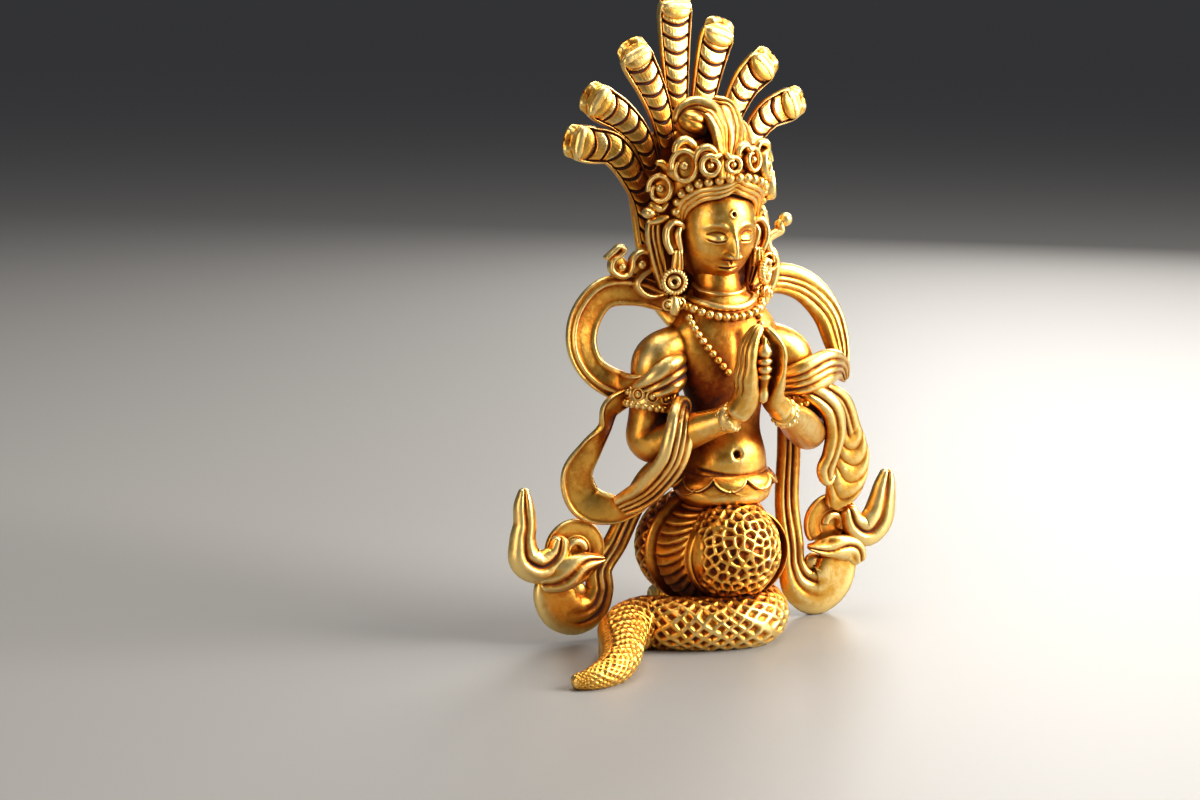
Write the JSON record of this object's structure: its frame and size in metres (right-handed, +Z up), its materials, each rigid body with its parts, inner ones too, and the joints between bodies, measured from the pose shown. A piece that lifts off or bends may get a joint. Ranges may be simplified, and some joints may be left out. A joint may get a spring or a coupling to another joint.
{
  "type": "serpent maiden figurine",
  "caption": "Gilt cast serpent maiden with joined palms, a fan of cobra hoods behind the head, scarf loops and swirling ribbons, kneeling on the coil of a scaled tail.",
  "frame": {"origin": "middle of the bounding box at the level of the sole, on the ground", "axes": "+Z up, -Y the way the face and the joined hands look, +X to the figure's left hand side"},
  "size_m": [0.0779, 0.0407, 0.1169],
  "materials": {
    "gilding": "polished gilding with dark patina in the hollows"
  },
  "bodies": {
    "root": {"naga_kanya_figure": "gilding"}
  },
  "joints": []
}
